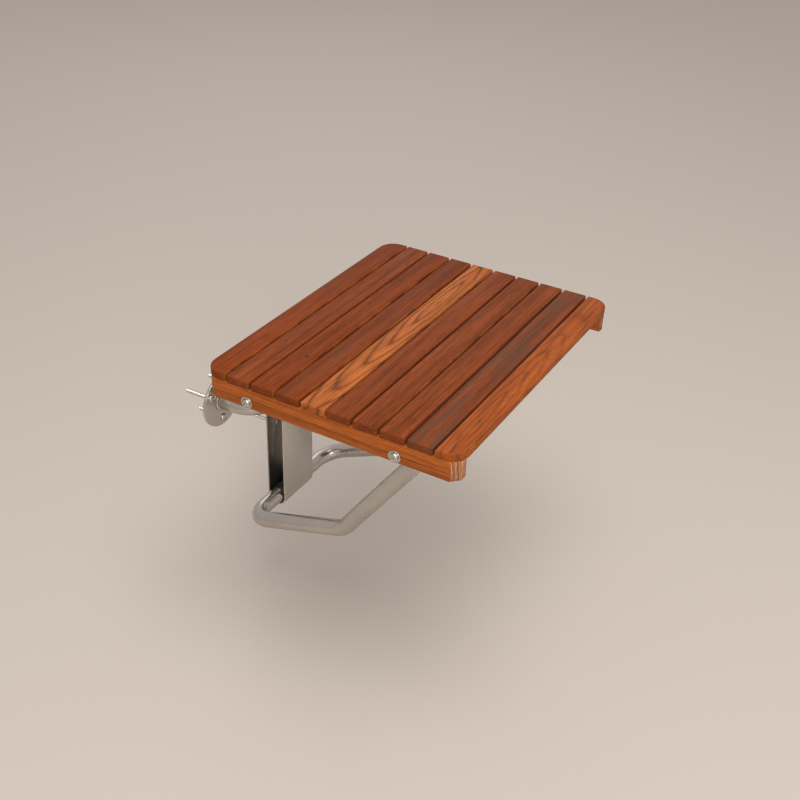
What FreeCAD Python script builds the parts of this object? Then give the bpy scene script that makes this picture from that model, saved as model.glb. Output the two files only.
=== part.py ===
import FreeCAD, Part
import math
import os

# Wall-mounted fold-up shower seat: ten teak slats on two teak rails, hinged on a stainless
# tube that is screwed to the wall, and propped by a bent tube loop whose back run slides up a
# guide on the wall. Millimetres. X runs along the wall, +Y into the wall, +Z up. The origin is
# on the wall, midway between the two wall flanges and level with their centres.

V = FreeCAD.Vector
ALONG_X = V(1, 0, 0)
OUT_OF_WALL = V(0, -1, 0)
UP = V(0, 0, 1)

# seat
SEAT_WIDTH = 457.2            # length of a slat
SLAT_COUNT = 10
SLAT_WIDTH = 33.8
SLAT_GAP = 3.4
SLAT_THICK = 11.0
SLAT_EASE = 1.6               # rounded long edges
SEAT_CORNER = 25.0            # rounded corners of the first and last slat
SEAT_TOP = 112.4              # seat surface above the flange centres
WALL_GAP = 47.5               # wall to the back edge of the seat

# rails under the slat ends
RAIL_WIDTH = 21.0
RAIL_HEIGHT = 28.5
RAIL_SIDE_INSET = 1.5
RAIL_END_INSET = 3.0
RAIL_CHAMFER = 11.0
RAIL_EASE = 1.2

# pivots
REAR_PIVOT_SETBACK = 66.8     # back edge of the seat to the hinge axis
PIVOT_SPACING = 214.9         # hinge axis to the front pivot axis
PIVOT_ABOVE_RAIL_FOOT = 8.5
FOLD_ANGLE = 88.0
HINGE_ROD_R = 6.0
RUNNING_CLEAR = 0.05
BUSH_WALL = 3.0
BUSH_LIP = 1.5
BUSH_LIP_WIDTH = 2.6
PLATE_THICK = 6.0
PLATE_BORDER = 5.0            # metal left around the bush
PLATE_SIDE_GAP = 10.0         # hinge plate to the side of the prop loop
PLATE_CORNER = 9.0
PLATE_TRIM = 0.5              # plate edge inside the bar's edge

# tubes
TUBE_R = 12.0
TUBE_WALL = 1.5
FLANGE_INSET = 88.7           # slat end to flange centre
BAR_STANDOFF = 62.5           # wall to the bar's axis
BAR_BEND = 38.0
WELD_SIZE = 4.5
WELD_SAG = 0.36               # hollow of the weld's face, as a share of its size

# wall flanges
FLANGE_R = 39.0
FLANGE_THICK = 3.5
FLANGE_EASE = 1.0
FLANGE_SCREW_CIRCLE_R = 28.0
FLANGE_SCREW_ANGLES = (29.0, 149.0, 269.0)
FLANGE_SCREW_R = 3.0
FLANGE_SCREW_NECK = 0.4       # neck in the flange, thicker than the thread by this
FLANGE_HEAD_R = 5.8
FLANGE_HEAD_H = 3.6
ANCHOR_DEPTH = 38.0           # wall screws reach this far into the wall
SCREW_CLEAR = 0.3

# prop loop, whose stations are set in from the inner face of the rail
LOOP_RUN_DROP = 226.0         # back run below the flange centres
LOOP_BACK_INSET = 101.2
LOOP_FOOT_INSET = 86.9
LOOP_FOOT_OUT = 190.4         # wall to the lower bend
LOOP_FOOT_DROP = 160.1
LOOP_KNEE_INSET = 33.5
LOOP_KNEE_DROP = 42.4         # knee straight below the front pivot axis
LOOP_BENDS = (39.0, 50.0, 36.0)
EYE_R = 8.0
EYE_THICK = 9.0
EYE_REACH = 12.0              # end of the tube to the front pivot axis
EYE_CAP = 2.0
EYE_STEM = 14.0               # stem pressed into the tube
PAD_R = 8.0
PAD_THICK = 9.0
OPEN_PIVOT_CLEAR = 0.5        # eye to pad, so that the prop can leave the front pivot

# wall guide for the back run
GUIDE_WIDTH = 76.2
GUIDE_SHEET = 2.0
GUIDE_CLEAR = 0.3
GUIDE_SPARE = 25.0            # slot left above the highest run
GUIDE_FLOOR_CLEAR = 1.7       # slot left below the lowest run
GUIDE_FOOT = 16.0
GUIDE_PLATE_TOP = 24.0
GUIDE_SCREW_SPACING = 34.0
GUIDE_SCREW_BELOW_TOP = 25.0
GUIDE_SCREW_TOP = 8.0
GUIDE_SCREW_R = 2.5
GUIDE_HEAD_R = 4.4
SLEEVE_WALL = 1.0
SLEEVE_SIDE_INSET = 4.0

# rail screws and slat screws
RAIL_SCREW_R = 2.5
RAIL_SCREW_GRIP = 18.0        # thread in the hinge rod
RAIL_HEAD_R = 6.0
RAIL_HEAD_H = 3.6
WASHER_R = 8.5
WASHER_THICK = 1.4
CROSS_SLOT = 1.5
CROSS_DEPTH = 1.6
SLAT_SCREW_R = 2.0
SLAT_SCREW_HEAD_R = 3.8
SLAT_SCREW_HEAD_H = 2.4
SLAT_SCREW_SINK = 6.0
SLAT_SCREW_GRIP = 7.0
SLAT_SCREW_SHIFT = 5.0        # off the slat's middle, clear of the rail screws
SINK_CLEAR = 0.3

# places that follow from the sizes above
SEAT_DEPTH = SLAT_COUNT * SLAT_WIDTH + (SLAT_COUNT - 1) * SLAT_GAP
SLAT_FOOT = SEAT_TOP - SLAT_THICK
RAIL_FOOT = SLAT_FOOT - RAIL_HEIGHT
RAIL_OUTER_X = SEAT_WIDTH / 2 - RAIL_SIDE_INSET
RAIL_INNER_X = RAIL_OUTER_X - RAIL_WIDTH
PIVOT_Z = RAIL_FOOT + PIVOT_ABOVE_RAIL_FOOT
HINGE_Y = -(WALL_GAP + REAR_PIVOT_SETBACK)
FRONT_PIVOT_Y = HINGE_Y - PIVOT_SPACING
FLANGE_X = SEAT_WIDTH / 2 - FLANGE_INSET
SLEEVE_R = TUBE_R + SLEEVE_WALL
RUN_Y = -(GUIDE_SHEET + GUIDE_CLEAR + SLEEVE_R)
RUN_Z = -LOOP_RUN_DROP
LOOP_BACK_X = RAIL_INNER_X - LOOP_BACK_INSET
EYE_X = RAIL_INNER_X - PAD_THICK - OPEN_PIVOT_CLEAR - EYE_THICK / 2
PLATE_X = LOOP_BACK_X - TUBE_R - PLATE_SIDE_GAP - PLATE_THICK / 2
SLOT_R = SLEEVE_R + GUIDE_CLEAR
SIDES = (("left", -1), ("right", 1))
NEAR = 0.02                   # mm within which an edge is at a stated place


def prop_linkage():
    """Highest point of the back run and its place and tilt when the seat is folded."""
    reach = RUN_Y - HINGE_Y
    prop = math.hypot(RUN_Y - FRONT_PIVOT_Y, PIVOT_Z - RUN_Z)
    rest_tilt = math.acos((reach + PIVOT_SPACING) / prop)
    fold = math.radians(FOLD_ANGLE)
    folded_tilt = math.acos((reach + PIVOT_SPACING * math.cos(fold)) / prop)
    folded_z = PIVOT_Z + PIVOT_SPACING * math.sin(fold) - prop * math.sin(folded_tilt)
    straight = math.acos(reach / (prop - PIVOT_SPACING))
    highest_z = PIVOT_Z - (prop - PIVOT_SPACING) * math.sin(straight)
    return highest_z, folded_z - RUN_Z, math.degrees(folded_tilt - rest_tilt)


HIGHEST_RUN_Z, RUN_TRAVEL, PROP_SWING = prop_linkage()
GUIDE_TOP = HIGHEST_RUN_Z + SLEEVE_R + GUIDE_SPARE


def export(shape, node):
    """Write one sub-part."""
    shape.exportStep("parts/" + node + ".step")


def cylinder(radius, length, base, direction):
    return Part.makeCylinder(radius, length, base, direction)


def block(low, high):
    size = high - low
    return Part.makeBox(size.x, size.y, size.z, low)


def face_from(edges):
    return Part.Face(Part.Wire(edges))


def line(start, end):
    return Part.LineSegment(start, end).toShape()


def lines(points):
    return [line(start, end) for start, end in zip(points, points[1:])]


def polygon_face(points):
    return Part.Face(Part.makePolygon(points + [points[0]]))


def mirrored(shape, side):
    """Pieces are drawn for the right side, x > 0; the left one is its mirror image."""
    return shape if side > 0 else shape.mirror(V(0, 0, 0), ALONG_X)


def bent_path(points, bends):
    """Straight runs between the points, joined by tangent arcs of the given radii."""
    edges = []
    start = points[0]
    for before, corner, after, radius in zip(points, points[1:], points[2:], bends):
        back = (before - corner).normalize()
        ahead = (after - corner).normalize()
        half = back.getAngle(ahead) / 2
        trim = radius / math.tan(half)
        middle = (back + ahead).normalize()
        arc_start = corner + back * trim
        arc_end = corner + ahead * trim
        arc_middle = corner + middle * (radius / math.sin(half) - radius)
        edges.append(line(start, arc_start))
        edges.append(Part.Arc(arc_start, arc_middle, arc_end).toShape())
        start = arc_end
    edges.append(line(start, points[-1]))
    return Part.Wire(edges)


def bent_rod(points, bends, radius):
    circle = Part.makeCircle(radius, points[0], points[1] - points[0])
    return bent_path(points, bends).makePipeShell([Part.Wire(circle)], True, True)


def bent_tube(points, bends):
    """A round tube, open at both ends."""
    outside = bent_rod(points, bends, TUBE_R)
    return outside.cut(bent_rod(points, bends, TUBE_R - TUBE_WALL))


def pan_head(radius, height, base, direction):
    """Domed screw head with a cross recess, its flat side on base."""
    dome_r = (radius * radius + height * height) / (2 * height)
    ball = Part.makeSphere(dome_r, base + direction * (height - dome_r))
    head = cylinder(radius, height, base, direction).common(ball)
    top = base + direction * height
    for across in (UP, direction.cross(UP)):
        slot = cylinder(CROSS_SLOT / 2, radius * 1.1, top - across * (radius * 0.55), across)
        deep = slot.translated(direction * (-CROSS_DEPTH / 2))
        head = head.cut(deep).cut(slot)
    return head


def slat(index):
    """One teak slat; the first and the last have their outer corners rounded."""
    back = -WALL_GAP - index * (SLAT_WIDTH + SLAT_GAP)
    front = back - SLAT_WIDTH
    half = SEAT_WIDTH / 2
    board = block(V(-half, front, SLAT_FOOT), V(half, back, SEAT_TOP))
    corner_y = {0: back, SLAT_COUNT - 1: front}.get(index)
    if corner_y is not None:
        corners = [e for e in board.Edges
                   if abs(e.CenterOfMass.y - corner_y) < NEAR and abs(abs(e.CenterOfMass.x) - half) < NEAR]
        board = board.makeFillet(SEAT_CORNER, corners)
    rims = [e for e in board.Edges if e.BoundBox.ZLength < NEAR]
    board = board.makeFillet(SLAT_EASE, rims)
    for side in (-1, 1):
        board = board.cut(slat_screw_hole(index, side))
    return board


def slat_screw_place(index, side):
    middle = -WALL_GAP - index * (SLAT_WIDTH + SLAT_GAP) - SLAT_WIDTH / 2
    return V(side * (RAIL_INNER_X + RAIL_WIDTH / 2), middle + SLAT_SCREW_SHIFT, RAIL_FOOT)


def slat_screw_hole(index, side):
    place = slat_screw_place(index, side)
    return cylinder(SLAT_SCREW_R, RAIL_HEIGHT + SLAT_SCREW_GRIP, place, UP)


def slat_screw(index, side):
    """Screw from under the rail into the slat, its head sunk into the rail."""
    seat = slat_screw_place(index, side) + UP * SLAT_SCREW_SINK
    shank = cylinder(SLAT_SCREW_R, RAIL_HEIGHT - SLAT_SCREW_SINK + SLAT_SCREW_GRIP, seat, UP)
    head = cylinder(SLAT_SCREW_HEAD_R, SLAT_SCREW_HEAD_H, seat - UP * SLAT_SCREW_HEAD_H, UP)
    return head.fuse(shank).removeSplitter()


def rail(side):
    """Teak rail under the slat ends, its outer corners cut off at both ends."""
    back = -WALL_GAP - RAIL_END_INSET
    front = -WALL_GAP - SEAT_DEPTH + RAIL_END_INSET
    plan = polygon_face([
        V(RAIL_INNER_X, back, RAIL_FOOT),
        V(RAIL_INNER_X, front, RAIL_FOOT),
        V(RAIL_OUTER_X - RAIL_CHAMFER, front, RAIL_FOOT),
        V(RAIL_OUTER_X, front + RAIL_CHAMFER, RAIL_FOOT),
        V(RAIL_OUTER_X, back - RAIL_CHAMFER, RAIL_FOOT),
        V(RAIL_OUTER_X - RAIL_CHAMFER, back, RAIL_FOOT)])
    board = plan.extrude(UP * RAIL_HEIGHT)
    feet = [e for e in board.Edges if e.BoundBox.ZMax < RAIL_FOOT + NEAR]
    board = board.makeFillet(RAIL_EASE, feet)
    for pivot_y in (HINGE_Y, FRONT_PIVOT_Y):
        inner = V(RAIL_INNER_X - 1, pivot_y, PIVOT_Z)
        board = board.cut(cylinder(RAIL_SCREW_R + SCREW_CLEAR, RAIL_WIDTH + 2, inner, ALONG_X))
    for index in range(SLAT_COUNT):
        place = slat_screw_place(index, 1)
        board = board.cut(slat_screw_hole(index, 1))
        board = board.cut(cylinder(SLAT_SCREW_HEAD_R + SINK_CLEAR, SLAT_SCREW_SINK, place, UP))
    return mirrored(board, side)


def rail_screw(side, pivot_y, length):
    """Pan-head screw through the rail, under a washer."""
    under_head = V(RAIL_OUTER_X + WASHER_THICK, pivot_y, PIVOT_Z)
    head = pan_head(RAIL_HEAD_R, RAIL_HEAD_H, under_head, ALONG_X)
    shank = cylinder(RAIL_SCREW_R, length + WASHER_THICK, under_head, ALONG_X * -1)
    return mirrored(head.fuse(shank).removeSplitter(), side)


def rail_washer(side, pivot_y):
    base = V(RAIL_OUTER_X, pivot_y, PIVOT_Z)
    ring = cylinder(WASHER_R, WASHER_THICK, base, ALONG_X)
    rims = [e for e in ring.Edges if abs(e.CenterOfMass.x - RAIL_OUTER_X - WASHER_THICK) < NEAR]
    ring = ring.makeFillet(WASHER_THICK / 3, rims)
    hole = cylinder(RAIL_SCREW_R + SCREW_CLEAR, WASHER_THICK, base, ALONG_X)
    return mirrored(ring.cut(hole), side)


def hinge_rod():
    """Stainless rod from rail to rail, tapped at both ends for the rail screws."""
    rod = cylinder(HINGE_ROD_R, 2 * RAIL_INNER_X, V(-RAIL_INNER_X, HINGE_Y, PIVOT_Z), ALONG_X)
    for side in (-1, 1):
        mouth = V(side * RAIL_INNER_X, HINGE_Y, PIVOT_Z)
        rod = rod.cut(cylinder(RAIL_SCREW_R, RAIL_SCREW_GRIP, mouth, ALONG_X * -side))
    return rod


def pivot_pad(side):
    """Nylon spacer between the rail and the eye of the prop."""
    base = V(RAIL_INNER_X, FRONT_PIVOT_Y, PIVOT_Z)
    disc = cylinder(PAD_R, PAD_THICK, base, ALONG_X * -1)
    hole = cylinder(RAIL_SCREW_R + SCREW_CLEAR, PAD_THICK, base, ALONG_X * -1)
    return mirrored(disc.cut(hole), side)


def flange(side):
    """Round wall plate with three screw holes."""
    plate = cylinder(FLANGE_R, FLANGE_THICK, V(FLANGE_X, 0, 0), OUT_OF_WALL)
    rims = [e for e in plate.Edges if abs(e.BoundBox.YMin + FLANGE_THICK) < NEAR
            and e.BoundBox.YLength < NEAR]
    plate = plate.makeFillet(FLANGE_EASE, rims)
    for place in flange_screw_places():
        hole_r = FLANGE_SCREW_R + FLANGE_SCREW_NECK + SCREW_CLEAR
        plate = plate.cut(cylinder(hole_r, FLANGE_THICK, place, OUT_OF_WALL))
    return mirrored(plate, side)


def flange_screw_places():
    places = []
    for angle in FLANGE_SCREW_ANGLES:
        turn = math.radians(angle)
        places.append(V(FLANGE_X - FLANGE_SCREW_CIRCLE_R * math.cos(turn), 0,
                        FLANGE_SCREW_CIRCLE_R * math.sin(turn)))
    return places


def flange_screws(side):
    screws = []
    for place in flange_screw_places():
        seat = place + OUT_OF_WALL * FLANGE_THICK
        head = pan_head(FLANGE_HEAD_R, FLANGE_HEAD_H, seat, OUT_OF_WALL)
        neck = cylinder(FLANGE_SCREW_R + FLANGE_SCREW_NECK, FLANGE_THICK, place, OUT_OF_WALL)
        thread = cylinder(FLANGE_SCREW_R, ANCHOR_DEPTH, place, OUT_OF_WALL * -1)
        screws.append(mirrored(head.fuse(neck).fuse(thread).removeSplitter(), side))
    return screws


def weld_bead(side):
    """Ring of weld between the bar and its flange, hollow like a fillet."""
    root = -FLANGE_THICK
    corner = V(FLANGE_X + TUBE_R, root, 0)
    toe = corner + ALONG_X * WELD_SIZE
    tip = corner + OUT_OF_WALL * WELD_SIZE
    sag = V(FLANGE_X + TUBE_R + WELD_SIZE * WELD_SAG, root - WELD_SIZE * WELD_SAG, 0)
    section = face_from([line(corner, toe), Part.Arc(toe, sag, tip).toShape(), line(tip, corner)])
    ring = section.revolve(V(FLANGE_X, 0, 0), V(0, 1, 0), 360)
    return mirrored(ring, side)


def wall_bar():
    """Tube from flange to flange, bent out from the wall like a grab bar."""
    points = [V(-FLANGE_X, -FLANGE_THICK, 0), V(-FLANGE_X, -BAR_STANDOFF, 0),
              V(FLANGE_X, -BAR_STANDOFF, 0), V(FLANGE_X, -FLANGE_THICK, 0)]
    return bent_tube(points, (BAR_BEND, BAR_BEND))


def edges_along_x(shape, place):
    """Edges of the shape that run along X through the place."""
    return [e for e in shape.Edges
            if e.BoundBox.YLength < NEAR and e.BoundBox.ZLength < NEAR
            and abs(e.BoundBox.YMin - place.y) < NEAR and abs(e.BoundBox.ZMin - place.z) < NEAR]


def hinge_plate(side):
    """Steel elbow welded to the bar: out below the folded seat, then up to the hinge."""
    boss_r = HINGE_ROD_R + RUNNING_CLEAR + BUSH_WALL + PLATE_BORDER
    x = PLATE_X - PLATE_THICK / 2
    low, high = PLATE_TRIM - TUBE_R, TUBE_R - PLATE_TRIM
    axis = V(x, HINGE_Y, PIVOT_Z)
    outer = [V(x, -BAR_STANDOFF, low), V(x, HINGE_Y - boss_r, low), V(x, HINGE_Y - boss_r, PIVOT_Z)]
    inner = [V(x, HINGE_Y + boss_r, PIVOT_Z), V(x, HINGE_Y + boss_r, high), V(x, -BAR_STANDOFF, high)]
    boss = Part.Arc(outer[-1], axis + UP * boss_r, inner[0]).toShape()
    plate = face_from(lines(outer) + [boss] + lines(inner + [outer[0]])).extrude(ALONG_X * PLATE_THICK)
    bends = edges_along_x(plate, outer[1]) + edges_along_x(plate, inner[1])
    plate = plate.makeFillet(PLATE_CORNER, bends)
    bar = cylinder(TUBE_R, PLATE_THICK, V(x, -BAR_STANDOFF, 0), ALONG_X)
    bore = cylinder(boss_r - PLATE_BORDER, PLATE_THICK, axis, ALONG_X)
    return mirrored(plate.cut(bar).cut(bore), side)


def hinge_bush(side):
    """Nylon bush with a lip on each face of the plate."""
    bore_r = HINGE_ROD_R + RUNNING_CLEAR
    length = PLATE_THICK + 2 * BUSH_LIP
    start = V(PLATE_X - length / 2, HINGE_Y, PIVOT_Z)
    bush = cylinder(bore_r + BUSH_WALL, length, start, ALONG_X)
    for lip_x in (PLATE_X - length / 2, PLATE_X + length / 2 - BUSH_LIP):
        lip = cylinder(bore_r + BUSH_WALL + BUSH_LIP_WIDTH, BUSH_LIP, V(lip_x, HINGE_Y, PIVOT_Z), ALONG_X)
        bush = bush.fuse(lip)
    bush = bush.removeSplitter().cut(cylinder(bore_r, length, start, ALONG_X))
    return mirrored(bush, side)


def front_pivot(side):
    return V(side * EYE_X, FRONT_PIVOT_Y, PIVOT_Z)


def prop_knee(side):
    return V(side * (RAIL_INNER_X - LOOP_KNEE_INSET), FRONT_PIVOT_Y, PIVOT_Z - LOOP_KNEE_DROP)


def prop_end_direction(side):
    return (front_pivot(side) - prop_knee(side)).normalize()


def prop_end(side):
    return front_pivot(side) - prop_end_direction(side) * EYE_REACH


def prop_side(side):
    """Corner points of one side of the prop, from the back run to its upper end."""
    return [
        V(side * LOOP_BACK_X, RUN_Y, RUN_Z),
        V(side * (RAIL_INNER_X - LOOP_FOOT_INSET), -LOOP_FOOT_OUT, -LOOP_FOOT_DROP),
        prop_knee(side),
        prop_end(side)]


def prop_loop():
    """One bent tube: along the wall, out, and up both sides to the front pivots."""
    points = list(reversed(prop_side(-1))) + prop_side(1)
    bends = list(reversed(LOOP_BENDS)) + list(LOOP_BENDS)
    return bent_tube(points, bends)


def prop_eye(side):
    """Steel end fitting: a stem pressed into the tube, a cap, and a flat eye on the pivot."""
    ahead = prop_end_direction(1)
    mouth = prop_end(1)
    pivot = front_pivot(1)
    stem = cylinder(TUBE_R - TUBE_WALL, EYE_STEM, mouth, ahead * -1)
    cap = cylinder(TUBE_R, EYE_CAP, mouth, ahead)
    reach = V(0, 2 * EYE_REACH, 2 * EYE_REACH)
    half_flat = ALONG_X * (EYE_THICK / 2)
    flat = block(pivot - half_flat - reach, pivot + half_flat + reach)
    neck = cylinder(EYE_R, EYE_REACH, mouth, ahead).common(flat)
    face = pivot - half_flat
    ring = cylinder(EYE_R, EYE_THICK, face, ALONG_X)
    bore = cylinder(RAIL_SCREW_R + SCREW_CLEAR, EYE_THICK, face, ALONG_X)
    return mirrored(stem.fuse([cap, neck, ring]).removeSplitter().cut(bore), side)


def guide_sleeve():
    """Nylon sleeve that turns on the back run and slides between the guide's leaves."""
    length = GUIDE_WIDTH - 2 * SLEEVE_SIDE_INSET
    start = V(-length / 2, RUN_Y, RUN_Z)
    outside = cylinder(SLEEVE_R, length, start, ALONG_X)
    return outside.cut(cylinder(TUBE_R + RUNNING_CLEAR, length, start, ALONG_X))


def guide_screw_places():
    low = GUIDE_TOP - GUIDE_SCREW_BELOW_TOP
    return [V(x, 0, z) for x in (-GUIDE_SCREW_SPACING / 2, GUIDE_SCREW_SPACING / 2)
            for z in (low, GUIDE_SCREW_TOP)]


def guide_back_plate():
    """Back leaf of the guide, flat on the wall."""
    half = GUIDE_WIDTH / 2
    plate = block(V(-half, -GUIDE_SHEET, RUN_Z - GUIDE_FLOOR_CLEAR), V(half, 0, GUIDE_PLATE_TOP))
    for place in guide_screw_places():
        sink = Part.makeCone(GUIDE_SCREW_R, GUIDE_HEAD_R, GUIDE_SHEET, place, OUT_OF_WALL)
        plate = plate.cut(sink)
    return plate


def guide_front_leaf():
    """Front leaf: from the back plate round under the run, up, and back at the top."""
    x = -GUIDE_WIDTH / 2
    floor_z = RUN_Z - GUIDE_FLOOR_CLEAR
    outer_r = SLOT_R + GUIDE_SHEET
    axis = V(x, RUN_Y, floor_z)

    def arc(radius):
        return Part.Arc(axis + V(0, radius, 0), axis - UP * radius, axis - V(0, radius, 0)).toShape()

    front, inner = RUN_Y - outer_r, RUN_Y - SLOT_R
    foot_front = -2 * GUIDE_SHEET
    foot_back = -GUIDE_SHEET
    roof = GUIDE_TOP + GUIDE_SHEET
    outer_side = lines([
        V(x, front, floor_z), V(x, front, roof), V(x, foot_front, roof),
        V(x, foot_front, roof + GUIDE_FOOT), V(x, foot_back, roof + GUIDE_FOOT),
        V(x, foot_back, GUIDE_TOP), V(x, inner, GUIDE_TOP), V(x, inner, floor_z)])
    lip = line(V(x, RUN_Y + SLOT_R, floor_z), V(x, RUN_Y + outer_r, floor_z))
    section = face_from([arc(outer_r)] + outer_side + [arc(SLOT_R), lip])
    leaf = section.extrude(ALONG_X * GUIDE_WIDTH)
    return leaf.makeFillet(GUIDE_SHEET * 1.5, edges_along_x(leaf, V(0, front, roof)))


def guide_screws():
    screws = []
    for place in guide_screw_places():
        head = Part.makeCone(GUIDE_SCREW_R, GUIDE_HEAD_R, GUIDE_SHEET, place, OUT_OF_WALL)
        shank = cylinder(GUIDE_SCREW_R, ANCHOR_DEPTH, place, OUT_OF_WALL * -1)
        screws.append(head.fuse(shank))
    return screws


os.makedirs("parts", exist_ok=True)

for number in range(SLAT_COUNT):
    export(slat(number), f"slat_{number + 1:02d}")
slat_screws = [slat_screw(n, s) for n in range(SLAT_COUNT) for s in (-1, 1)]
export(Part.makeCompound(slat_screws), "slat_screws")

rear_grip = RAIL_WIDTH + RAIL_SCREW_GRIP
front_grip = RAIL_WIDTH + PAD_THICK
rail_screws = []
rail_washers = []
for name, side in SIDES:
    export(rail(side), "rail_" + name)
    export(pivot_pad(side), "pivot_pad_" + name)
    export(prop_eye(side), "prop_eye_" + name)
    export(flange(side), "wall_flange_" + name)
    export(Part.makeCompound(flange_screws(side)), "flange_screws_" + name)
    export(weld_bead(side), "weld_bead_" + name)
    export(hinge_plate(side), "hinge_plate_" + name)
    export(hinge_bush(side), "hinge_bush_" + name)
    rail_screws += [rail_screw(side, HINGE_Y, rear_grip), rail_screw(side, FRONT_PIVOT_Y, front_grip)]
    rail_washers += [rail_washer(side, HINGE_Y), rail_washer(side, FRONT_PIVOT_Y)]
export(Part.makeCompound(rail_screws), "rail_screws")
export(Part.makeCompound(rail_washers), "rail_washers")

export(hinge_rod(), "hinge_rod")
export(wall_bar(), "wall_bar")
export(prop_loop(), "prop_loop")
export(guide_sleeve(), "guide_sleeve")
export(guide_back_plate(), "guide_back_plate")
export(guide_front_leaf(), "guide_front_leaf")
export(Part.makeCompound(guide_screws()), "guide_screws")

print(f"run travel {RUN_TRAVEL:.3f} mm, prop swing {PROP_SWING:.4f} deg, guide top {GUIDE_TOP:.2f}")
print(f"hinge y {HINGE_Y:.2f} z {PIVOT_Z:.2f}, run y {RUN_Y:.2f} z {RUN_Z:.2f}, flange x {FLANGE_X:.2f}")
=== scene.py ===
import math

import bpy
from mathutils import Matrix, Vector


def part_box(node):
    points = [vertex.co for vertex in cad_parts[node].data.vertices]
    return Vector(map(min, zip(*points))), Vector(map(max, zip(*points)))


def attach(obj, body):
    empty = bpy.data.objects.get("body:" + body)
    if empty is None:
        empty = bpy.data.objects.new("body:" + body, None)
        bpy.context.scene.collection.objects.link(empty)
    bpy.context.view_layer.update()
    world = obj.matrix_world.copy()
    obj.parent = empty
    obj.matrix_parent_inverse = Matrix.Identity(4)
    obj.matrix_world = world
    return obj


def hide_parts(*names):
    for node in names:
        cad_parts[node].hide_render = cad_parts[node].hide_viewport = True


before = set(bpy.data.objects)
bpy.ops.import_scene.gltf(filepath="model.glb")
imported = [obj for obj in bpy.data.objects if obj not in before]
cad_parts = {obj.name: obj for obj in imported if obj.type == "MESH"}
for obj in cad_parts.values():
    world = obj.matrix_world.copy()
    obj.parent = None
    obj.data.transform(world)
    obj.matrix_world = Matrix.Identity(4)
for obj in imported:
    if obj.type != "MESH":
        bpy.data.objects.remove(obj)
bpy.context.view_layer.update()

# Camera, soft studio lights and a plain floor. The seat hangs on a wall, which isn't shown, with
# its top 475 mm above the floor.
MM = 0.001
camera_data = bpy.data.cameras.new("camera")
camera_data.lens = 51.233
camera_data.sensor_width = 36
camera_data.clip_end = 60
camera = bpy.data.objects.new("camera", camera_data)
camera.location = (-1.17816, -0.86508, 0.85632)
camera.rotation_euler = [math.radians(a) for a in (57.466, -1.808, -59.650)]
bpy.context.scene.collection.objects.link(camera)
bpy.context.scene.camera = camera
bpy.context.scene.view_settings.view_transform = "Standard"

seat_height = 0.475
floor_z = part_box("slat_01")[1].z - seat_height
bpy.ops.object.select_all(action="DESELECT")
bpy.ops.mesh.primitive_plane_add(size=30, location=(0, 0, floor_z))
floor = bpy.context.object
floor.name = "floor"
floor_paint = bpy.data.materials.new("floor_paint")
floor_paint.use_nodes = True
floor_shader = floor_paint.node_tree.nodes["Principled BSDF"]
floor_shader.inputs["Base Color"].default_value = (0.58, 0.52, 0.47, 1)
floor_shader.inputs["Roughness"].default_value = 0.6
floor.data.materials.append(floor_paint)


def soft_light(name, place, size, power, colour):
    """A square area light that shines from its place at the seat."""
    data = bpy.data.lights.new(name, "AREA")
    data.size = size
    data.energy = power
    data.color = colour
    light = bpy.data.objects.new(name, data)
    light.location = place
    towards = Vector((0, -0.2, 0)) - Vector(place)
    light.rotation_euler = towards.to_track_quat("-Z", "Y").to_euler()
    bpy.context.scene.collection.objects.link(light)


soft_light("overhead_light", (-0.6, -0.9, 2.5), 1.6, 42, (1.0, 0.965, 0.92))
soft_light("front_light", (-2.3, -2.0, 1.5), 1.3, 34, (1.0, 0.97, 0.94))
soft_light("far_light", (2.4, 1.6, 1.9), 1.6, 8, (1.0, 0.98, 0.96))
world = bpy.data.worlds.new("studio")
world.use_nodes = True
world.node_tree.nodes["Background"].inputs["Color"].default_value = (0.90, 0.86, 0.82, 1)
world.node_tree.nodes["Background"].inputs["Strength"].default_value = 0.62
bpy.context.scene.world = world


# Deck slats: ten planed and oiled teak boards, each from another plank, so each has its own tone.
# Their edges are eased, and the first and last have their outer corners rounded.
def deselect():
    bpy.ops.object.select_all(action="DESELECT")


def new_piece(name):
    """Names the object just added and puts its place and size into its mesh."""
    piece = bpy.context.object
    piece.name = name
    piece.data.name = name
    bpy.ops.object.transform_apply(location=True, rotation=True, scale=True)
    return piece


def pick(piece, kind, wanted):
    """Opens a piece in edit mode with only the wanted corners, edges or faces selected."""
    bpy.context.view_layer.objects.active = piece
    bpy.ops.object.mode_set(mode="EDIT")
    bpy.ops.mesh.select_mode(type=kind)
    bpy.ops.mesh.select_all(action="DESELECT")
    bpy.ops.object.mode_set(mode="OBJECT")
    mesh = piece.data
    if kind == "VERT":
        for corner in mesh.vertices:
            corner.select = wanted(corner.co)
    elif kind == "EDGE":
        for edge in mesh.edges:
            edge.select = wanted(*(mesh.vertices[i].co for i in edge.vertices))
    else:
        for face in mesh.polygons:
            face.select = wanted(face.center, face.normal)
    bpy.ops.object.mode_set(mode="EDIT")


def leave_edit(piece, smooth_angle=35):
    bpy.ops.object.mode_set(mode="OBJECT")
    deselect()
    piece.select_set(True)
    bpy.context.view_layer.objects.active = piece
    bpy.ops.object.shade_smooth_by_angle(angle=math.radians(smooth_angle))


def copy_of(piece, name, shift=(0, 0, 0), turn_z=0.0):
    """A second piece with its own mesh, turned about Z and then shifted."""
    twin = piece.copy()
    twin.data = piece.data.copy()
    twin.name = twin.data.name = name
    bpy.context.scene.collection.objects.link(twin)
    deselect()
    twin.select_set(True)
    bpy.context.view_layer.objects.active = twin
    twin.rotation_euler.z = turn_z
    twin.location = shift
    bpy.ops.object.transform_apply(location=True, rotation=True, scale=True)
    return twin


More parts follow.
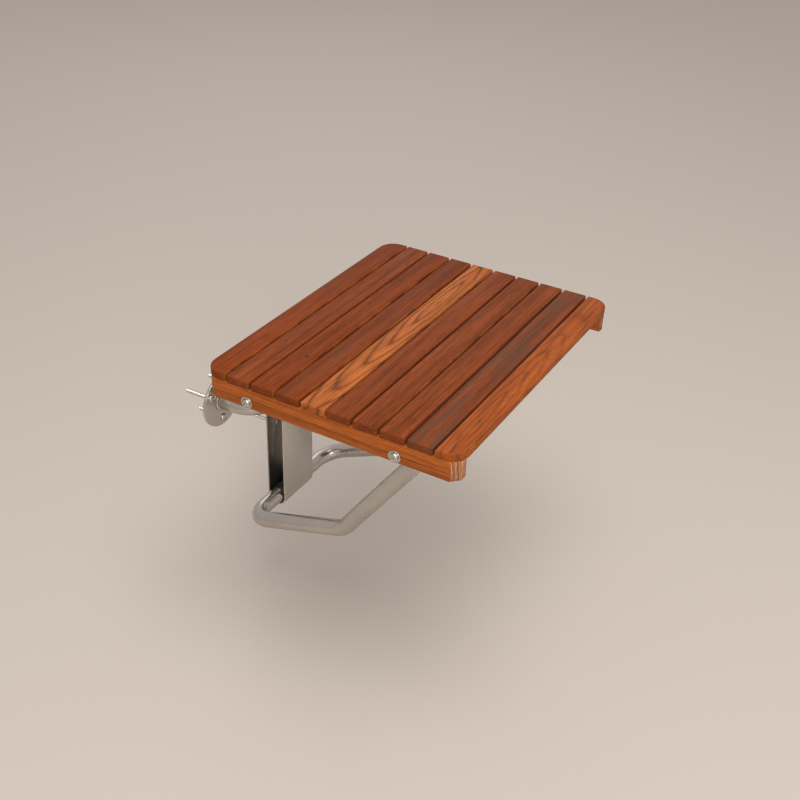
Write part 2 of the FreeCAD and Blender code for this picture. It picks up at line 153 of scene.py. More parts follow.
def add_node(tree, kind, **values):
    """Adds a shader node. The values set its inputs by name, or else its settings."""
    made = tree.nodes.new(kind)
    for key, value in values.items():
        label = key.replace("_", " ")
        if label in made.inputs:
            made.inputs[label].default_value = value
        else:
            setattr(made, key, value)
    return made


def new_paint(name):
    """A node material with its shader and its Object coordinates."""
    paint = bpy.data.materials.new(name)
    paint.use_nodes = True
    tree = paint.node_tree
    where = tree.nodes.new("ShaderNodeTexCoord").outputs["Object"]
    return paint, tree, tree.nodes["Principled BSDF"], where


def moved(tree, where, seed, turn=0.0):
    """Object coordinates shifted by the seed and turned about Z."""
    made = tree.nodes.new("ShaderNodeMapping")
    made.inputs["Location"].default_value = (seed * 0.731, seed * 0.417, seed * 0.253)
    made.inputs["Rotation"].default_value = (0, 0, turn)
    tree.links.new(where, made.inputs["Vector"])
    return made.outputs["Vector"]


def stretched(tree, vector, scale):
    made = add_node(tree, "ShaderNodeVectorMath", operation="MULTIPLY")
    made.inputs[1].default_value = scale
    tree.links.new(vector, made.inputs[0])
    return made.outputs["Vector"]


def noise(tree, vector, scale, detail, rough=0.55, warp=0.0):
    made = add_node(tree, "ShaderNodeTexNoise", Scale=scale, Detail=detail, Roughness=rough,
                    Distortion=warp)
    tree.links.new(vector, made.inputs["Vector"])
    return made.outputs["Fac"]


def ramp(tree, value, stops):
    """A colour ramp. A stop's shade is a number for grey or a red, green, blue triple."""
    made = tree.nodes.new("ShaderNodeValToRGB")
    while len(made.color_ramp.elements) < len(stops):
        made.color_ramp.elements.new(0.5)
    for element, (place, shade) in zip(made.color_ramp.elements, stops):
        element.position = place
        element.color = (*shade, 1) if isinstance(shade, tuple) else (shade, shade, shade, 1)
    tree.links.new(value, made.inputs["Fac"])
    return made.outputs["Color"]


def mix(tree, first, second, share, kind="MIX"):
    """Mixes two colours; each value is a socket, a number or a colour."""
    made = add_node(tree, "ShaderNodeMix", data_type="RGBA", blend_type=kind)
    sockets = [s for s in made.inputs if s.enabled]
    for socket, value in zip(sockets, (share, first, second)):
        if isinstance(value, bpy.types.NodeSocket):
            tree.links.new(value, socket)
        else:
            socket.default_value = (*value, 1) if isinstance(value, tuple) else value
    return next(s for s in made.outputs if s.enabled)


def raised(tree, shader, height, strength, depth):
    bump = add_node(tree, "ShaderNodeBump", Strength=strength, Distance=depth)
    tree.links.new(height, bump.inputs["Height"])
    tree.links.new(bump.outputs["Normal"], shader.inputs["Normal"])


def teak(name, middle, seed, turn=0.0, streak=0.5, stain=0.0, arches=0.0, heart=None, lit_worn_edge_y=None,
         knots=()):
    """Oiled teak with its grain along X, or along Y when turned, about its middle tone.

    Arches are flat-sawn figure round the heart. A lighter orange band along X at its Y is partly
    edge wear and partly a painted highlight of the lit front edge. A knot is a centre and a radius.
    """
    paint, tree, shader, where = new_paint(name)
    board = moved(tree, where, seed, turn)
    dark, light = (tuple(c * factor for c in middle) for factor in (0.80, 1.20))
    # the tone drifts along the board, and the growth lines run straight with it
    drift = noise(tree, stretched(tree, board, (1.6, 24, 24)), 2.4, 3.0, 0.5, 0.3)
    colour = ramp(tree, drift, [(0.30, dark), (0.50, middle), (0.72, light)])
    band = noise(tree, stretched(tree, board, (1.0, 62, 62)), 2.4, 4.0, 0.6, 0.4)
    bands = ramp(tree, band, [(0.34, 0.52), (0.48, 0.97), (0.7, 1.14)])
    colour = mix(tree, colour, bands, 0.7 * streak, "MULTIPLY")
    line = noise(tree, stretched(tree, board, (2.4, 260, 260)), 2.6, 4.0, 0.6, 0.3)
    lines = ramp(tree, line, [(0.34, 0.50), (0.5, 1.0), (0.66, 1.20)])
    colour = mix(tree, colour, lines, 0.75, "MULTIPLY")
    # open pores are short dark dashes
    pore = noise(tree, stretched(tree, board, (38, 950, 950)), 1.1, 2.0, 0.5)
    dashes = ramp(tree, pore, [(0.52, 1.0), (0.62, 0.45)])
    colour = mix(tree, colour, dashes, 0.6, "MULTIPLY")
    if arches:
        rings = add_node(tree, "ShaderNodeTexWave", wave_type="RINGS", rings_direction="Z", Scale=2.0,
                         Distortion=5.0, Detail=2.0, Detail_Scale=1.1, Detail_Roughness=0.5)
        around = add_node(tree, "ShaderNodeMapping", Location=tuple(-c for c in heart))
        tree.links.new(where, around.inputs["Vector"])
        tree.links.new(stretched(tree, around.outputs["Vector"], (2.4, 26, 26)), rings.inputs["Vector"])
        figure = ramp(tree, rings.outputs["Fac"], [(0.0, 0.40), (0.14, 0.82), (0.5, 1.0), (1.0, 1.12)])
        colour = mix(tree, colour, figure, arches, "MULTIPLY")
    if stain:
        cloud = noise(tree, stretched(tree, board, (3.5, 30, 30)), 2.4, 4.0)
        patch = ramp(tree, cloud, [(0.38, 0.0), (0.66, stain)])
        colour = mix(tree, colour, (0.100, 0.048, 0.030), patch)
    for place, radius in knots:
        away = add_node(tree, "ShaderNodeVectorMath", operation="DISTANCE")
        tree.links.new(where, away.inputs[0])
        away.inputs[1].default_value = place
        near = add_node(tree, "ShaderNodeMapRange")
        near.inputs["From Min"].default_value = 1.6 * radius
        near.inputs["From Max"].default_value = 0.7 * radius
        near.inputs["To Max"].default_value = 0.85
        tree.links.new(away.outputs["Value"], near.inputs["Value"])
        colour = mix(tree, colour, (0.060, 0.016, 0.006), near.outputs["Result"])
    # partly wear, partly painted highlight: a lighter orange band along the slat's front edge, where the
    # lit edge catches the light
    if lit_worn_edge_y is not None:
        across = add_node(tree, "ShaderNodeSeparateXYZ")
        tree.links.new(where, across.inputs["Vector"])
        edge = add_node(tree, "ShaderNodeMapRange")
        edge.inputs["From Min"].default_value = lit_worn_edge_y + 1.5 * MM
        edge.inputs["From Max"].default_value = lit_worn_edge_y + 0.5 * MM
        tree.links.new(across.outputs["Y"], edge.inputs["Value"])
        rub_and_glint = noise(tree, stretched(tree, board, (9, 1, 1)), 3.0, 4.0)
        rubbed_and_lit = ramp(tree, rub_and_glint, [(0.42, 0.0), (0.62, 0.5)])
        edge_wear_and_highlight = mix(tree, rubbed_and_lit, edge.outputs["Result"], 1.0, "MULTIPLY")
        colour = mix(tree, colour, (0.42, 0.125, 0.026), edge_wear_and_highlight)
    tree.links.new(colour, shader.inputs["Base Color"])
    oil = noise(tree, stretched(tree, board, (6, 70, 70)), 2.0, 3.0)
    tree.links.new(ramp(tree, oil, [(0.3, 0.42), (0.7, 0.58)]), shader.inputs["Roughness"])
    shader.inputs["Specular IOR Level"].default_value = 0.07
    raised(tree, shader, mix(tree, line, dashes, 0.5), 0.30, 0.5 * MM)
    return paint


edge_ease = 1.7 * MM
corner_radius = 25 * MM
edge_steps = 4
corner_steps = 14
low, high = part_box("slat_02")
deselect()
bpy.ops.mesh.primitive_cube_add(size=1, location=(low + high) / 2, scale=high - low)
middle_slat = new_piece("middle_slat")
pick(middle_slat, "EDGE", lambda a, b: True)
bpy.ops.mesh.bevel(offset=edge_ease, segments=edge_steps, affect="EDGES")
leave_edit(middle_slat)

first_low, first_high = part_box("slat_01")
deselect()
bpy.ops.mesh.primitive_cube_add(size=1, location=(first_low + first_high) / 2,
                                scale=first_high - first_low)
end_slat = new_piece("end_slat")
pick(end_slat, "EDGE", lambda a, b: abs(a.z - b.z) > MM and a.y > first_high.y - MM)
bpy.ops.mesh.bevel(offset=corner_radius, segments=corner_steps, affect="EDGES")
pick(end_slat, "FACE", lambda centre, normal: abs(normal.z) > 0.9)
bpy.ops.mesh.region_to_loop()
bpy.ops.mesh.bevel(offset=edge_ease, segments=edge_steps, affect="EDGES")
leave_edit(end_slat)

red_brown = (0.212, 0.042, 0.007)
warm_brown = (0.220, 0.049, 0.012)
golden = (0.430, 0.122, 0.030)
fox_brown = (0.335, 0.080, 0.017)


def on_slat(number, x, shift=0.0):
    """A place on top of a slat, at x and shifted from its middle line."""
    slat_low, slat_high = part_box(f"slat_{number:02d}")
    return x, (slat_low.y + slat_high.y) / 2 + shift, slat_high.z


knots = ((on_slat(3, -0.135, -4 * MM), 2.4 * MM), (on_slat(3, 0.035, 6 * MM), 1.8 * MM))
slat_looks = [
    dict(middle=red_brown, streak=0.5),
    dict(middle=warm_brown, streak=0.75),
    dict(middle=red_brown, streak=0.45, knots=knots),
    dict(middle=red_brown, streak=0.6, stain=0.3),
    dict(middle=golden, streak=0.25, arches=0.85, heart=on_slat(5, 0.09)),
    dict(middle=warm_brown, streak=0.7),
    dict(middle=warm_brown, streak=0.45),
    dict(middle=warm_brown, streak=0.5),
    dict(middle=warm_brown, streak=0.8, stain=0.8),
    dict(middle=fox_brown, streak=0.35, arches=0.4, heart=on_slat(10, -0.15))]
# slats whose front edge gets the lighter orange band, part edge wear and part painted highlight
lit_worn_slats = (1, 3, 4, 7, 10)
deck_middle_y = (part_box("slat_01")[1].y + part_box("slat_10")[0].y) / 2
for number, look in enumerate(slat_looks, 1):
    node = f"slat_{number:02d}"
    if number == 1:
        slat = copy_of(end_slat, "deck_" + node)
    elif number == len(slat_looks):
        slat = copy_of(end_slat, "deck_" + node, (0, 2 * deck_middle_y, 0), math.pi)
    else:
        slat = copy_of(middle_slat, "deck_" + node, (0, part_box(node)[0].y - low.y, 0))
    slat.data.materials.clear()
    front_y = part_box(node)[0].y if number in lit_worn_slats else None
    slat.data.materials.append(teak("teak_" + node, seed=number, lit_worn_edge_y=front_y, **look))
    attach(slat, "seat")
    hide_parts(node)
for pattern in (middle_slat, end_slat):
    bpy.data.objects.remove(pattern)


# Deck rails: two teak rails under the slat ends, their outer corners cut off at both ends. Sunk
# holes in their undersides take the screws that hold the slats.
rail_chamfer = 11 * MM
rail_ease = 1.2 * MM
sink_radius = 4.1 * MM
sink_depth = 6 * MM
slat_screw_shift = 5 * MM


def sawn_end(name, seed):
    """Sawn teak across the grain: paler, duller and speckled with open pores."""
    paint, tree, shader, where = new_paint(name)
    board = moved(tree, where, seed)
    speck = noise(tree, board, 1100, 2.0)
    ring = noise(tree, stretched(tree, board, (1, 240, 16)), 3.0, 4.0, 0.6, 0.4)
    colour = ramp(tree, ring, [(0.38, (0.17, 0.062, 0.028)), (0.50, (0.42, 0.185, 0.090)),
                               (0.64, (0.58, 0.30, 0.17))])
    colour = mix(tree, colour, ramp(tree, speck, [(0.42, 0.6), (0.56, 1.05)]), 0.6, "MULTIPLY")
    tree.links.new(colour, shader.inputs["Base Color"])
    tree.links.new(ramp(tree, speck, [(0.4, 0.72), (0.6, 0.58)]), shader.inputs["Roughness"])
    shader.inputs["Specular IOR Level"].default_value = 0.07
    raised(tree, shader, speck, 0.35, 0.4 * MM)
    return paint


def take_away(piece, cutter):
    """Cuts the cutter's shape out of the piece and removes the cutter."""
    cut = piece.modifiers.new("cut", "BOOLEAN")
    cut.operation = "DIFFERENCE"
    cut.solver = "EXACT"
    cut.object = cutter
    bpy.context.view_layer.objects.active = piece
    bpy.ops.object.modifier_apply(modifier=cut.name)
    bpy.data.objects.remove(cutter)


low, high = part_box("rail_left")
deselect()
bpy.ops.mesh.primitive_cube_add(size=1, location=(low + high) / 2, scale=high - low)
left_rail = new_piece("deck_rail_left")
pick(left_rail, "EDGE", lambda a, b: abs(a.z - b.z) > MM and a.x < low.x + MM)
bpy.ops.mesh.bevel(offset=rail_chamfer, segments=1, affect="EDGES")
pick(left_rail, "EDGE", lambda a, b: True)
bpy.ops.mesh.bevel(offset=rail_ease, segments=3, affect="EDGES")
leave_edit(left_rail)
rail_middle_x = (low.x + high.x) / 2
screw_ys = [sum(c.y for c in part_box(f"slat_{n:02d}")) / 2 + slat_screw_shift for n in range(1, 11)]
for y in screw_ys:
    deselect()
    bpy.ops.mesh.primitive_cylinder_add(vertices=32, radius=sink_radius, depth=2 * sink_depth,
                                        location=(rail_middle_x, y, low.z))
    take_away(left_rail, new_piece("sink"))
leave_edit(left_rail)
right_rail = copy_of(left_rail, "deck_rail_right")
pick(right_rail, "FACE", lambda centre, normal: True)
bpy.ops.transform.mirror(constraint_axis=(True, False, False), center_override=(0, 0, 0))
bpy.ops.mesh.flip_normals()
leave_edit(right_rail)
rail_tone = (0.410, 0.108, 0.022)
for side, rail in (("left", left_rail), ("right", right_rail)):
    rail.data.materials.clear()
    rail.data.materials.append(teak("teak_rail_" + side, rail_tone, seed=len(side) + 17,
                                    turn=math.pi / 2, streak=0.7))
    rail.data.materials.append(sawn_end("sawn_rail_" + side, len(side) + 20))
    for face in rail.data.polygons:
        face.material_index = 1 if abs(face.normal.y) > 0.6 and abs(face.normal.z) < 0.5 else 0
    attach(rail, "seat")
    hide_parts("rail_" + side)


# Slat screws: twenty stainless pan-head screws, one for each end of each slat. They are driven up
# from the sunk holes in the rails, each with a cross recess in its head.
cross_arm = 0.62
cross_width = 0.24
cross_depth = 0.5
thread_root = 0.76


def cut_cross(screw, head_radius, top, depth):
    """Cuts a cross recess, narrower at its floor, into the head."""
    for turn in (0, math.pi / 2):
        deselect()
        size = (2 * cross_arm * head_radius, cross_width * head_radius, 2 * depth)
        bpy.ops.mesh.primitive_cube_add(size=1, location=(0, 0, top), rotation=(0, 0, turn), scale=size)
        arm = new_piece("cross_arm")
        pick(arm, "FACE", lambda centre, normal: normal.z < -0.9)
        narrow = (0.4, 1, 1) if turn == 0 else (1, 0.4, 1)
        bpy.ops.transform.resize(value=narrow, center_override=(0, 0, 0))
        leave_edit(arm)
        take_away(screw, arm)


def pan_head_screw(name, head_radius, head_height, shank_radius, length, pitch=0.0):
    """A domed head with a cross recess, above the origin, and a shank or thread below it."""
    deselect()
    wall = head_height * 0.3
    bpy.ops.mesh.primitive_cylinder_add(vertices=40, radius=head_radius, depth=wall,
                                        location=(0, 0, wall / 2))
    screw = new_piece(name)
    pick(screw, "FACE", lambda centre, normal: normal.z > 0.9)
    for rise, shrink in ((0.26, 0.95), (0.20, 0.90), (0.14, 0.80), (0.10, 0.62)):
        bpy.ops.mesh.extrude_region_move(TRANSFORM_OT_translate={"value": (0, 0, rise * head_height)})
        bpy.ops.transform.resize(value=(shrink, shrink, 1), center_override=(0, 0, 0))
    pick(screw, "FACE", lambda centre, normal: normal.z < -0.9)
    bpy.ops.mesh.inset(thickness=head_radius - shank_radius)
    steps = int(length / pitch) if pitch else 1
    for _ in range(steps):
        if pitch:
            bpy.ops.mesh.extrude_region_move(TRANSFORM_OT_translate={"value": (0, 0, -pitch / 2)})
            bpy.ops.transform.resize(value=(thread_root, thread_root, 1), center_override=(0, 0, 0))
            bpy.ops.mesh.extrude_region_move(TRANSFORM_OT_translate={"value": (0, 0, -pitch / 2)})
            bpy.ops.transform.resize(value=(1 / thread_root, 1 / thread_root, 1),
                                     center_override=(0, 0, 0))
        else:
            bpy.ops.mesh.extrude_region_move(TRANSFORM_OT_translate={"value": (0, 0, -length)})
    if pitch:
        bpy.ops.mesh.extrude_region_move(
            TRANSFORM_OT_translate={"value": (0, 0, steps * pitch - length)})
        bpy.ops.transform.resize(value=(0.3, 0.3, 1), center_override=(0, 0, 0))
    leave_edit(screw)
    cut_cross(screw, head_radius, head_height, cross_depth * head_height)
    leave_edit(screw, 30)
    return screw


def screw_steel(name):
    """Turned stainless: bright, with a fine grain and a little wear."""
    paint, tree, shader, where = new_paint(name)
    fine = noise(tree, where, 900, 3.0)
    wear = noise(tree, where, 160, 3.0)
    tree.links.new(ramp(tree, wear, [(0.3, (0.46, 0.44, 0.41)), (0.7, (0.62, 0.60, 0.57))]),
                   shader.inputs["Base Color"])
    tree.links.new(ramp(tree, fine, [(0.3, 0.20), (0.7, 0.34)]), shader.inputs["Roughness"])
    shader.inputs["Metallic"].default_value = 1.0
    raised(tree, shader, fine, 0.05, 0.03 * MM)
    return paint


def aimed(screw, name, place, axis):
    """A copy of a screw with its head's top along the axis, its head's underside at the place."""
    twin = screw.copy()
    twin.data = screw.data.copy()
    twin.name = twin.data.name = name
    bpy.context.scene.collection.objects.link(twin)
    deselect()
    twin.select_set(True)
    bpy.context.view_layer.objects.active = twin
    twin.rotation_euler = Vector(axis).to_track_quat("Z", "Y").to_euler()
    twin.location = place
    bpy.ops.object.transform_apply(location=True, rotation=True, scale=True)
    return twin


def joined(pieces, name):
    """Joins like pieces into one."""
    deselect()
    for piece in pieces:
        piece.select_set(True)
    bpy.context.view_layer.objects.active = pieces[0]
    bpy.ops.object.join()
    pieces[0].name = pieces[0].data.name = name
    return pieces[0]


bright_steel = screw_steel("turned_screw_steel")
low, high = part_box("slat_screws")
slat_screw_head = 2.4 * MM
slat_screw = pan_head_screw("slat_screw", 3.8 * MM, slat_screw_head, 2 * MM,
                            high.z - low.z - slat_screw_head, 1.6 * MM)
slat_screws = []
for side in (-1, 1):
    for y in screw_ys:
        place = (side * rail_middle_x, y, low.z + slat_screw_head)
        slat_screws.append(aimed(slat_screw, "slat_screw_copy", place, (0, 0, -1)))
bpy.data.objects.remove(slat_screw)
slat_screws = joined(slat_screws, "slat_screw_set")
slat_screws.data.materials.append(bright_steel)
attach(slat_screws, "seat")
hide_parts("slat_screws")


# Pivot screws: a pan-head screw on a washer at each pivot, through the rail. The rear two hold the
# hinge rod, and the front two carry the prop on nylon spacers.
low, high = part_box("rail_screws")
pivot_head = 3.6 * MM
under_head = high.x - pivot_head
rod_low, rod_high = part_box("hinge_rod")
rear_pivot = (rod_low + rod_high) / 2
pad_low, pad_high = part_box("pivot_pad_right")
front_pivot = (pad_low + pad_high) / 2
rear_length = under_head - rod_high.x + 18 * MM
front_length = under_head - pad_low.x
pivot_screws = []
for pivot, length in ((rear_pivot, rear_length), (front_pivot, front_length)):
    screw = pan_head_screw("pivot_screw", 6 * MM, pivot_head, 2.5 * MM, length)
    for side in (-1, 1):
        place = (side * under_head, pivot.y, pivot.z)
        pivot_screws.append(aimed(screw, "pivot_screw_copy", place, (side, 0, 0)))
    bpy.data.objects.remove(screw)
pivot_screws = joined(pivot_screws, "pivot_screw_set")
pivot_screws.data.materials.append(bright_steel)
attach(pivot_screws, "seat")
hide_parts("rail_screws")


# Steel parts whose shape the frame already has: the washers, the hinge rod, the bent tubes and the
# flanges keep their mesh and take a satin finish.
def satin_steel(name, tone, rough, brush=(1, 1, 1), weld_tint=None):
    """Satin stainless. The brush stretches the fine lines; the tint is a weld's heat colour."""
    paint, tree, shader, where = new_paint(name)
    lines = noise(tree, stretched(tree, where, brush), 420, 4.0, 0.6)
    cloud = noise(tree, where, 11, 4.0, 0.6)
    light = tuple(min(1.0, c * 1.05) for c in tone)
    dark = tuple(c * 0.95 for c in tone)
    colour = mix(tree, ramp(tree, cloud, [(0.35, dark), (0.65, light)]),
                 ramp(tree, lines, [(0.3, 0.93), (0.7, 1.04)]), 0.5, "MULTIPLY")
    if weld_tint:
        spread, tint_colour = weld_tint
        away = add_node(tree, "ShaderNodeSeparateXYZ")
        tree.links.new(where, away.inputs["Vector"])
        near = add_node(tree, "ShaderNodeMapRange")
        near.inputs["From Min"].default_value = -spread
        near.inputs["From Max"].default_value = -3.5 * MM
        near.inputs["To Max"].default_value = 0.55
        tree.links.new(away.outputs["Y"], near.inputs["Value"])
        colour = mix(tree, colour, tint_colour, near.outputs["Result"])
    tree.links.new(colour, shader.inputs["Base Color"])
    tree.links.new(ramp(tree, mix(tree, lines, cloud, 0.5), [(0.3, rough - 0.02), (0.7, rough + 0.03)]),
                   shader.inputs["Roughness"])
    shader.inputs["Metallic"].default_value = 1.0
    raised(tree, shader, lines, 0.03, 0.02 * MM)
    return paint


def finish_node(node, paint):
    """Gives a node of the frame its finish."""
    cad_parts[node].data.materials.clear()
    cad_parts[node].data.materials.append(paint)


tube_tone = (0.54, 0.50, 0.46)
finish_node("rail_washers", bright_steel)
finish_node("hinge_rod", satin_steel("drawn_rod_steel", tube_tone, 0.30, (0.1, 1, 1)))
weld_heat = (16 * MM, (0.42, 0.33, 0.24))
finish_node("wall_bar", satin_steel("bar_steel", tube_tone, 0.29, weld_tint=weld_heat))
finish_node("prop_loop", satin_steel("loop_steel", tube_tone, 0.27))
flange_tone = (0.55, 0.52, 0.48)
for side in ("left", "right"):
    finish_node("wall_flange_" + side,
                satin_steel("flange_steel_" + side, flange_tone, 0.30, (1, 1, 0.15)))


# Wall screws: three pan-head screws in each round flange, with coarse thread into the wall.
bpy.context.view_layer.update()
flange_circle = 28 * MM
flange_angles = (29, 149, 269)
wall_thread = 38 * MM
wall_pitch = 2.4 * MM
for side, sign in (("left", -1), ("right", 1)):
    flange_low, flange_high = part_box("wall_flange_" + side)
    centre = (flange_low + flange_high) / 2
    thick = flange_high.y - flange_low.y
    screws_low, screws_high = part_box("flange_screws_" + side)
    head_height = flange_low.y - screws_low.y
    pattern = pan_head_screw("wall_screw", 5.8 * MM, head_height, 3 * MM, thick + wall_thread,
                             wall_pitch)
    screws = []
    for turn in flange_angles:
        along = math.radians(turn)
        place = (centre.x - sign * flange_circle * math.cos(along), flange_low.y,
                 centre.z + flange_circle * math.sin(along))
        screws.append(aimed(pattern, "wall_screw_copy", place, (0, -1, 0)))
    bpy.data.objects.remove(pattern)
    screws = joined(screws, "wall_screws_" + side)
    screws.data.materials.append(bright_steel)
    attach(screws, "wall_frame")
    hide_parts("flange_screws_" + side)


# Welds: a rippled bead all round the bar where it meets each flange, laid by hand in the same
# stainless and left a little darker than the tube.
bead_radius = 3.1 * MM
bead_ripples = 44
bead_sink = 0.6 * MM
bead_waist = 0.70
bar_radius = 12 * MM
for side in ("left", "right"):
    bead_low, bead_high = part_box("weld_bead_" + side)
    centre = (bead_low + bead_high) / 2
    ring_centre = Vector((centre.x, bead_high.y - bead_sink, centre.z))
    ring_radius = bar_radius + bead_sink
    deselect()
    bpy.ops.mesh.primitive_torus_add(major_segments=3 * bead_ripples, minor_segments=16,
                                     location=ring_centre, rotation=(math.pi / 2, 0, 0),
                                     major_radius=ring_radius, minor_radius=bead_radius)
    bead = new_piece("weld_" + side)
    for ripple in range(bead_ripples):
        angle = 2 * math.pi * ripple / bead_ripples
        out = Vector((math.cos(angle), 0, math.sin(angle)))
        middle = ring_centre + out * ring_radius

        def in_ripple(corner):
            spoke = corner - ring_centre
            spoke.y = 0
            return spoke.length > MM and spoke.angle(out) < math.pi / bead_ripples / 3

        pick(bead, "VERT", in_ripple)
        bpy.ops.transform.resize(value=(bead_waist, bead_waist, bead_waist), center_override=middle)
    leave_edit(bead, 60)
    paint, tree, shader, where = new_paint("weld_steel_" + side)
    tint = noise(tree, where, 240, 3.0)
    tree.links.new(ramp(tree, tint, [(0.3, (0.30, 0.26, 0.22)), (0.55, (0.46, 0.42, 0.37)),
                                     (0.75, (0.40, 0.36, 0.38))]), shader.inputs["Base Color"])
    tree.links.new(ramp(tree, tint, [(0.3, 0.30), (0.7, 0.46)]), shader.inputs["Roughness"])
    shader.inputs["Metallic"].default_value = 1.0
    bead.data.materials.append(paint)
    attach(bead, "wall_frame")
    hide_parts("weld_bead_" + side)


# Guide front leaf: 2 mm stainless sheet, bent round under the prop's run at the foot, and back to
# the wall at the top, where its foot is fixed flat.
sheet = 2 * MM
low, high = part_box("guide_front_leaf")
run_radius = -low.y / 2
curl_z = low.z + run_radius
top_bend = 3 * MM
inner_bend = 1.5 * MM
foot_height = 16 * MM
foot_front = high.y - 2 * sheet
roof_z = high.z - foot_height
face_top = roof_z - top_bend
deselect()
bpy.ops.mesh.primitive_plane_add(size=1, location=(0, low.y, (curl_z + face_top) / 2),
                                 rotation=(math.pi / 2, 0, 0))
bpy.context.object.scale = (high.x - low.x, face_top - curl_z, 1)
leaf = new_piece("guide_leaf")
pick(leaf, "EDGE", lambda a, b: max(a.z, b.z) < curl_z + 0.1 * MM)
bpy.ops.mesh.spin(steps=24, angle=-math.pi, center=(0, low.y + run_radius, curl_z), axis=(1, 0, 0))
pick(leaf, "EDGE", lambda a, b: min(a.z, b.z) > face_top - 0.1 * MM)
bpy.ops.mesh.spin(steps=8, angle=math.pi / 2, center=(0, low.y + top_bend, face_top), axis=(1, 0, 0))
bpy.ops.mesh.extrude_region_move(TRANSFORM_OT_translate={
    "value": (0, foot_front - inner_bend - low.y - top_bend, 0)})
bpy.ops.mesh.spin(steps=6, angle=-math.pi / 2, center=(0, foot_front - inner_bend, roof_z + inner_bend),
                  axis=(1, 0, 0))
bpy.ops.mesh.extrude_region_move(TRANSFORM_OT_translate={"value": (0, 0, foot_height - inner_bend)})
bpy.ops.mesh.select_all(action="SELECT")
bpy.ops.mesh.remove_doubles(threshold=0.01 * MM)
bpy.ops.mesh.normals_make_consistent(inside=False)
leave_edit(leaf)


def ease_edges(piece, width, angle=50):
    """Breaks the edges that turn by more than the angle."""
    ease = piece.modifiers.new("ease", "BEVEL")
    ease.width = width
    ease.segments = 2
    ease.angle_limit = math.radians(angle)
    bpy.context.view_layer.objects.active = piece
    bpy.ops.object.modifier_apply(modifier=ease.name)


def thicken(piece, wall, ease):
    """Gives a bent sheet its thickness, behind its outer face, and eases its cut edges."""
    wall_step = piece.modifiers.new("wall", "SOLIDIFY")
    wall_step.thickness = wall
    wall_step.offset = -1
    wall_step.use_even_offset = True
    bpy.context.view_layer.objects.active = piece
    bpy.ops.object.modifier_apply(modifier=wall_step.name)
    ease_edges(piece, ease)


thicken(leaf, sheet, 0.35 * MM)
leaf.data.materials.append(satin_steel("guide_leaf_steel", (0.60, 0.57, 0.53), 0.36, (1, 1, 0.04)))
leave_edit(leaf, 40)
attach(leaf, "wall_frame")
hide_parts("guide_front_leaf")


# Guide back leaf: the same stainless sheet, cut flat and screwed to the wall through four
# countersunk holes. The prop's run slides in front of it, and its darker tone is painted shade.
def eased_copy(node, name, width):
    """A copy of a node of the frame with its sharp edges broken."""
    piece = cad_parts[node].copy()
    piece.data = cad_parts[node].data.copy()
    piece.parent = None
    piece.name = piece.data.name = name
    for key in list(piece.keys()):
        del piece[key]
    bpy.context.scene.collection.objects.link(piece)
    deselect()
    piece.select_set(True)
    pick(piece, "VERT", lambda corner: True)
    bpy.ops.mesh.remove_doubles(threshold=0.002 * MM)
    bpy.ops.mesh.dissolve_limited(angle_limit=math.radians(1))
    bpy.ops.object.mode_set(mode="OBJECT")
    ease_edges(piece, width, 40)
    leave_edit(piece, 40)
    piece.data.materials.clear()
    return piece


low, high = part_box("guide_back_plate")
screws_low, screws_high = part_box("guide_screws")
sunk_head = 4.4 * MM
sunk_shank = 2.5 * MM
sunk_places = [(x, z) for x in (screws_low.x + sunk_head, screws_high.x - sunk_head)
               for z in (screws_low.z + sunk_head, screws_high.z - sunk_head)]
back_plate = eased_copy("guide_back_plate", "guide_back", 0.3 * MM)
# painted shade: the same sheet as the front leaf, given a much darker tone because it sits in shade
# behind it
shaded_back_tone = (0.34, 0.315, 0.28)
back_plate.data.materials.append(satin_steel("guide_back_shaded_steel", shaded_back_tone, 0.36, (1, 1, 0.04)))
leave_edit(back_plate, 20)
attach(back_plate, "wall_frame")
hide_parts("guide_back_plate")


# Guide screws: four countersunk stainless wood screws through the back leaf, with a cross recess
# in the head and coarse thread into the wall.
deselect()
bpy.ops.mesh.primitive_cone_add(vertices=40, radius1=sunk_shank, radius2=sunk_head, depth=sheet,
                                location=(0, 0, -sheet / 2))
sunk_screw = new_piece("sunk_screw")
pick(sunk_screw, "EDGE", lambda a, b: min(a.z, b.z) > -0.1 * MM)
bpy.ops.mesh.bevel(offset=0.25 * MM, segments=2, affect="EDGES")
pick(sunk_screw, "FACE", lambda centre, normal: normal.z < -0.9)
sunk_pitch = 2.0 * MM
sunk_length = screws_high.y - high.y
for _ in range(int(sunk_length / sunk_pitch)):
    for shrink in (thread_root, 1 / thread_root):
        bpy.ops.mesh.extrude_region_move(TRANSFORM_OT_translate={"value": (0, 0, -sunk_pitch / 2)})
        bpy.ops.transform.resize(value=(shrink, shrink, 1), center_override=(0, 0, 0))
leave_edit(sunk_screw)
cut_cross(sunk_screw, sunk_head, 0, 0.62 * sheet)
leave_edit(sunk_screw, 30)
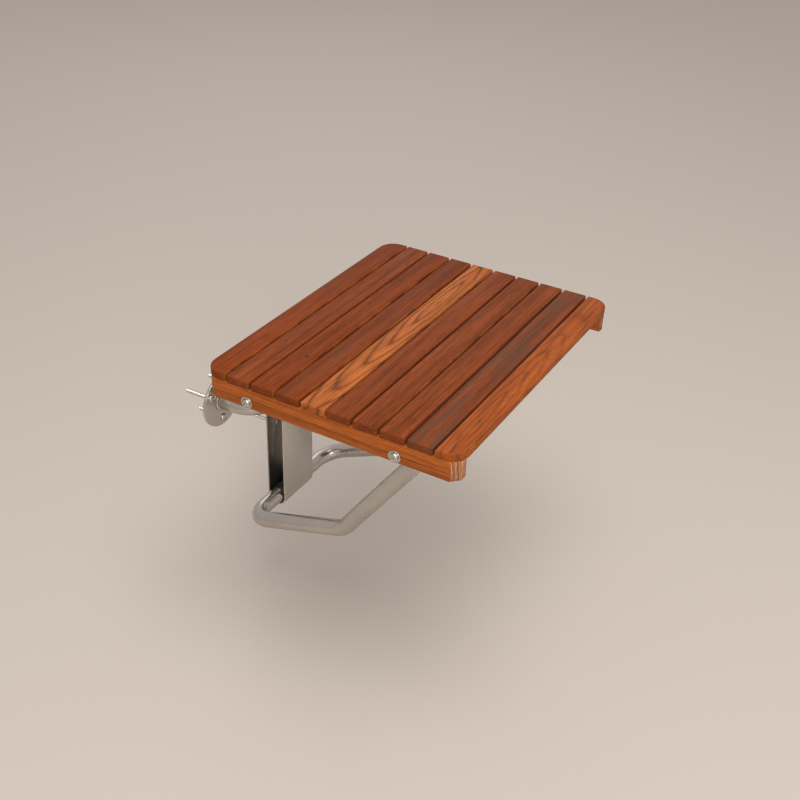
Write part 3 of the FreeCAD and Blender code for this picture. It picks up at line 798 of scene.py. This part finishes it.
guide_screws = [aimed(sunk_screw, "guide_screw_copy", (x, low.y, z), (0, -1, 0)) for x, z in sunk_places]
bpy.data.objects.remove(sunk_screw)
guide_screws = joined(guide_screws, "guide_screw_set")
guide_screws.data.materials.append(bright_steel)
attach(guide_screws, "wall_frame")
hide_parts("guide_screws")


# Nylon parts: the sleeve on the prop's run, the bushes of the hinge and the spacers at the front
# pivots. They are turned from black rod, and their rims are broken.
def black_nylon(name):
    """Black nylon: dull, with a fine grain and a few paler scuffs."""
    paint, tree, shader, where = new_paint(name)
    grain = noise(tree, where, 1400, 2.0)
    scuff = noise(tree, stretched(tree, where, (0.4, 1, 1)), 130, 5.0, 0.7)
    tree.links.new(ramp(tree, scuff, [(0.45, (0.012, 0.012, 0.013)), (0.75, (0.042, 0.041, 0.040))]),
                   shader.inputs["Base Color"])
    tree.links.new(ramp(tree, scuff, [(0.4, 0.42), (0.7, 0.62)]), shader.inputs["Roughness"])
    raised(tree, shader, grain, 0.2, 0.1 * MM)
    return paint


nylon = black_nylon("black_nylon_rod")
for node, body in (("guide_sleeve", "slider"), ("hinge_bush_left", "wall_frame"),
                   ("hinge_bush_right", "wall_frame"), ("pivot_pad_left", "seat"),
                   ("pivot_pad_right", "seat")):
    piece = eased_copy(node, "turned_" + node, 0.4 * MM)
    piece.data.materials.append(nylon)
    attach(piece, body)
    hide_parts(node)


# Hinge plates: 6 mm stainless cut to an elbow and welded to the bar, and the steel eyes pressed
# into the ends of the prop.
plate_steel = satin_steel("cut_plate_steel", (0.52, 0.50, 0.46), 0.36, (1, 0.15, 1))
for side in ("left", "right"):
    plate = eased_copy("hinge_plate_" + side, "hinge_elbow_" + side, 0.6 * MM)
    plate.data.materials.append(plate_steel)
    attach(plate, "wall_frame")
    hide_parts("hinge_plate_" + side)
    eye = eased_copy("prop_eye_" + side, "prop_fitting_" + side, 0.5 * MM)
    eye.data.materials.append(satin_steel("eye_steel_" + side, tube_tone, 0.30))
    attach(eye, "prop")
    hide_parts("prop_eye_" + side)
